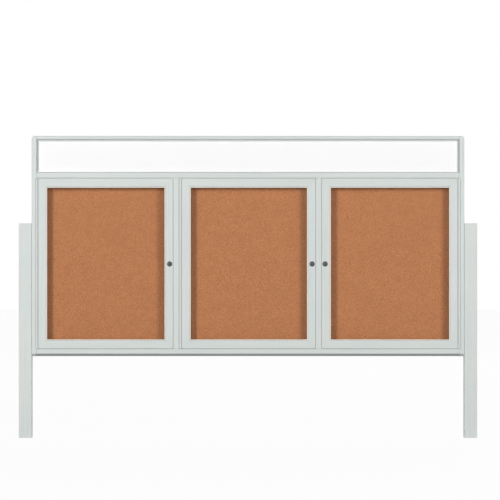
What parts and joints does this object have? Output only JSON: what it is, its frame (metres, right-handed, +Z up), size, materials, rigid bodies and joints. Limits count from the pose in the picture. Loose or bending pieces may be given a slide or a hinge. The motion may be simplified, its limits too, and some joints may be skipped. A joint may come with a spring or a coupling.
{
  "type": "enclosed notice board",
  "caption": "Outdoor enclosed notice board on posts: hinged glazed doors with cam locks over cork, blank header panel, satin aluminium frame.",
  "frame": {"origin": "on the ground, midway between the posts and at the middle of the whole depth", "axes": "+X to the right as seen from the front, +Y from the doors to the back, +Z up"},
  "size_m": [2.2596, 0.0998, 1.4885],
  "materials": {
    "satin_aluminium": "satin anodised, silver",
    "hinge_metal": "satin anodised",
    "clear_pane": "clear, polished safety glazing",
    "glazing_gasket": "cream, matt",
    "door_seal": "black foam strip, matt",
    "cork": "natural cork, matt",
    "back_sheet": "mill finish sheet",
    "white_panel": "plain white",
    "lock_metal": "dark grey, semi-gloss",
    "bright_steel": "zinc plated"
  },
  "bodies": {
    "case": {"left_side_rail": "satin_aluminium", "right_side_rail": "satin_aluminium", "case_bottom_rail": "satin_aluminium", "case_top_rail": "satin_aluminium", "header_top_rail": "satin_aluminium", "mullion_left": "satin_aluminium", "mullion_right": "satin_aluminium", "cork_board": "cork", "back_panel": "back_sheet", "header_panel": "white_panel", "post_left": "satin_aluminium", "post_right": "satin_aluminium", "post_cap_left": "satin_aluminium", "post_cap_right": "satin_aluminium", "post_bolt_left_lower": "bright_steel", "post_bolt_left_upper": "bright_steel", "post_bolt_right_lower": "bright_steel", "post_bolt_right_upper": "bright_steel", "hinge_1_case_leaf": "hinge_metal", "hinge_1_pin": "hinge_metal", "hinge_2_case_leaf": "hinge_metal", "hinge_2_pin": "hinge_metal", "hinge_3_case_leaf": "hinge_metal", "hinge_3_pin": "hinge_metal"},
    "door_1": {"door_1_hinge_stile": "satin_aluminium", "door_1_lock_stile": "satin_aluminium", "door_1_bottom_rail": "satin_aluminium", "door_1_top_rail": "satin_aluminium", "door_1_gasket": "glazing_gasket", "door_1_pane": "clear_pane", "door_1_seal": "door_seal", "hinge_1_door_leaf": "hinge_metal", "lock_1_housing": "lock_metal", "lock_1_nut": "bright_steel"},
    "lock_1": {"lock_1_plug": "lock_metal", "lock_1_cam": "bright_steel"},
    "door_2": {"door_2_hinge_stile": "satin_aluminium", "door_2_lock_stile": "satin_aluminium", "door_2_bottom_rail": "satin_aluminium", "door_2_top_rail": "satin_aluminium", "door_2_gasket": "glazing_gasket", "door_2_pane": "clear_pane", "door_2_seal": "door_seal", "hinge_2_door_leaf": "hinge_metal", "lock_2_housing": "lock_metal", "lock_2_nut": "bright_steel"},
    "lock_2": {"lock_2_plug": "lock_metal", "lock_2_cam": "bright_steel"},
    "door_3": {"door_3_hinge_stile": "satin_aluminium", "door_3_lock_stile": "satin_aluminium", "door_3_bottom_rail": "satin_aluminium", "door_3_top_rail": "satin_aluminium", "door_3_gasket": "glazing_gasket", "door_3_pane": "clear_pane", "door_3_seal": "door_seal", "hinge_3_door_leaf": "hinge_metal", "lock_3_housing": "lock_metal", "lock_3_nut": "bright_steel"},
    "lock_3": {"lock_3_plug": "lock_metal", "lock_3_cam": "bright_steel"}
  },
  "joints": [
    {"name": "door_1_hinge", "type": "hinge", "parent": "case", "child": "door_1", "pos_m": [-1.03995, -0.04515, 0.4396], "axis": [0, 0, -1], "range_deg": [0, 120]},
    {"name": "lock_1_turn", "type": "hinge", "parent": "door_1", "child": "lock_1", "pos_m": [-0.3861, -0.0401, 0.8575], "axis": [0, -1, 0], "range_deg": [0, 90]},
    {"name": "door_2_hinge", "type": "hinge", "parent": "case", "child": "door_2", "pos_m": [-0.33385, -0.04515, 0.4396], "axis": [0, 0, -1], "range_deg": [0, 120]},
    {"name": "lock_2_turn", "type": "hinge", "parent": "door_2", "child": "lock_2", "pos_m": [0.316, -0.0401, 0.8575], "axis": [0, -1, 0], "range_deg": [0, 90]},
    {"name": "door_3_hinge", "type": "hinge", "parent": "case", "child": "door_3", "pos_m": [1.03995, -0.04515, 0.4396], "axis": [0, 0, 1], "range_deg": [0, 120]},
    {"name": "lock_3_turn", "type": "hinge", "parent": "door_3", "child": "lock_3", "pos_m": [0.3801, -0.0401, 0.8575], "axis": [0, 1, 0], "range_deg": [0, 90]}
  ]
}
